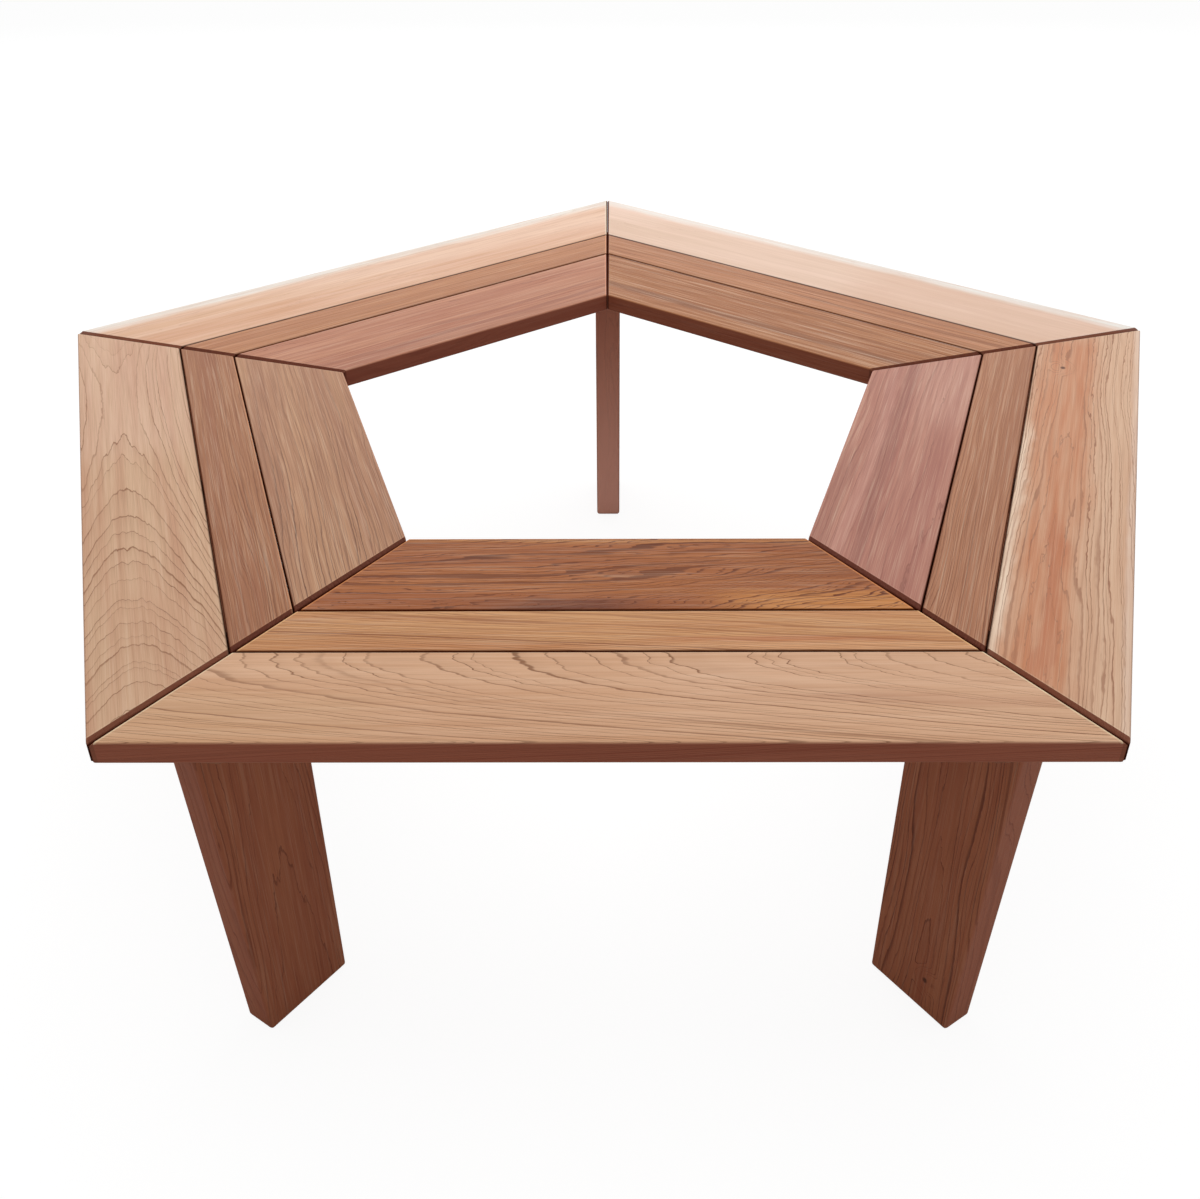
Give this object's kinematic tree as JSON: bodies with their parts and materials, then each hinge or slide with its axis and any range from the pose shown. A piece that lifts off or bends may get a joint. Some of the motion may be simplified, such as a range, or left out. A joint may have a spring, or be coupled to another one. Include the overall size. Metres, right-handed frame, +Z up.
{
  "type": "tree bench",
  "caption": "Five-sided slatted wooden bench that rings a tree trunk, with mitred seat boards and radial plank legs.",
  "frame": {"origin": "the tree's axis, which is the centre of the ring, at ground level under the feet", "axes": "+Z up, the ring's five-fold axis; -Y faces the front, the seat side square to the viewer; +X is the viewer's right and the longest way across"},
  "size_m": [1.3502, 1.284, 0.45],
  "materials": {
    "cedar_boards": "planed western cedar, oiled, satin",
    "cedar_legs": "planed cedar, darker reddish brown, satin",
    "cedar_battens": "planed cedar, plain, satin",
    "stainless_steel": "stainless steel, dull"
  },
  "bodies": {
    "root": {"rear_left_outer_board": "cedar_boards", "rear_left_middle_board": "cedar_boards", "rear_left_inner_board": "cedar_boards", "rear_left_centre_batten": "cedar_battens", "leg_rear": "cedar_legs", "rear_left_cleat_at_rear_leg": "cedar_battens", "rear_right_cleat_at_rear_leg": "cedar_battens", "left_outer_board": "cedar_boards", "left_middle_board": "cedar_boards", "left_inner_board": "cedar_boards", "left_centre_batten": "cedar_battens", "leg_left": "cedar_legs", "left_cleat_at_left_leg": "cedar_battens", "rear_left_cleat_at_left_leg": "cedar_battens", "front_outer_board": "cedar_boards", "front_middle_board": "cedar_boards", "front_inner_board": "cedar_boards", "front_centre_batten": "cedar_battens", "leg_front_left": "cedar_legs", "front_cleat_at_front_left_leg": "cedar_battens", "left_cleat_at_front_left_leg": "cedar_battens", "right_outer_board": "cedar_boards", "right_middle_board": "cedar_boards", "right_inner_board": "cedar_boards", "right_centre_batten": "cedar_battens", "leg_front_right": "cedar_legs", "right_cleat_at_front_right_leg": "cedar_battens", "front_cleat_at_front_right_leg": "cedar_battens", "rear_right_outer_board": "cedar_boards", "rear_right_middle_board": "cedar_boards", "rear_right_inner_board": "cedar_boards", "rear_right_centre_batten": "cedar_battens", "leg_right": "cedar_legs", "rear_right_cleat_at_right_leg": "cedar_battens", "right_cleat_at_right_leg": "cedar_battens", "leg_bolts": "stainless_steel", "leg_bolt_washers": "stainless_steel", "leg_bolt_nuts": "stainless_steel", "seat_screws": "stainless_steel"}
  },
  "joints": []
}
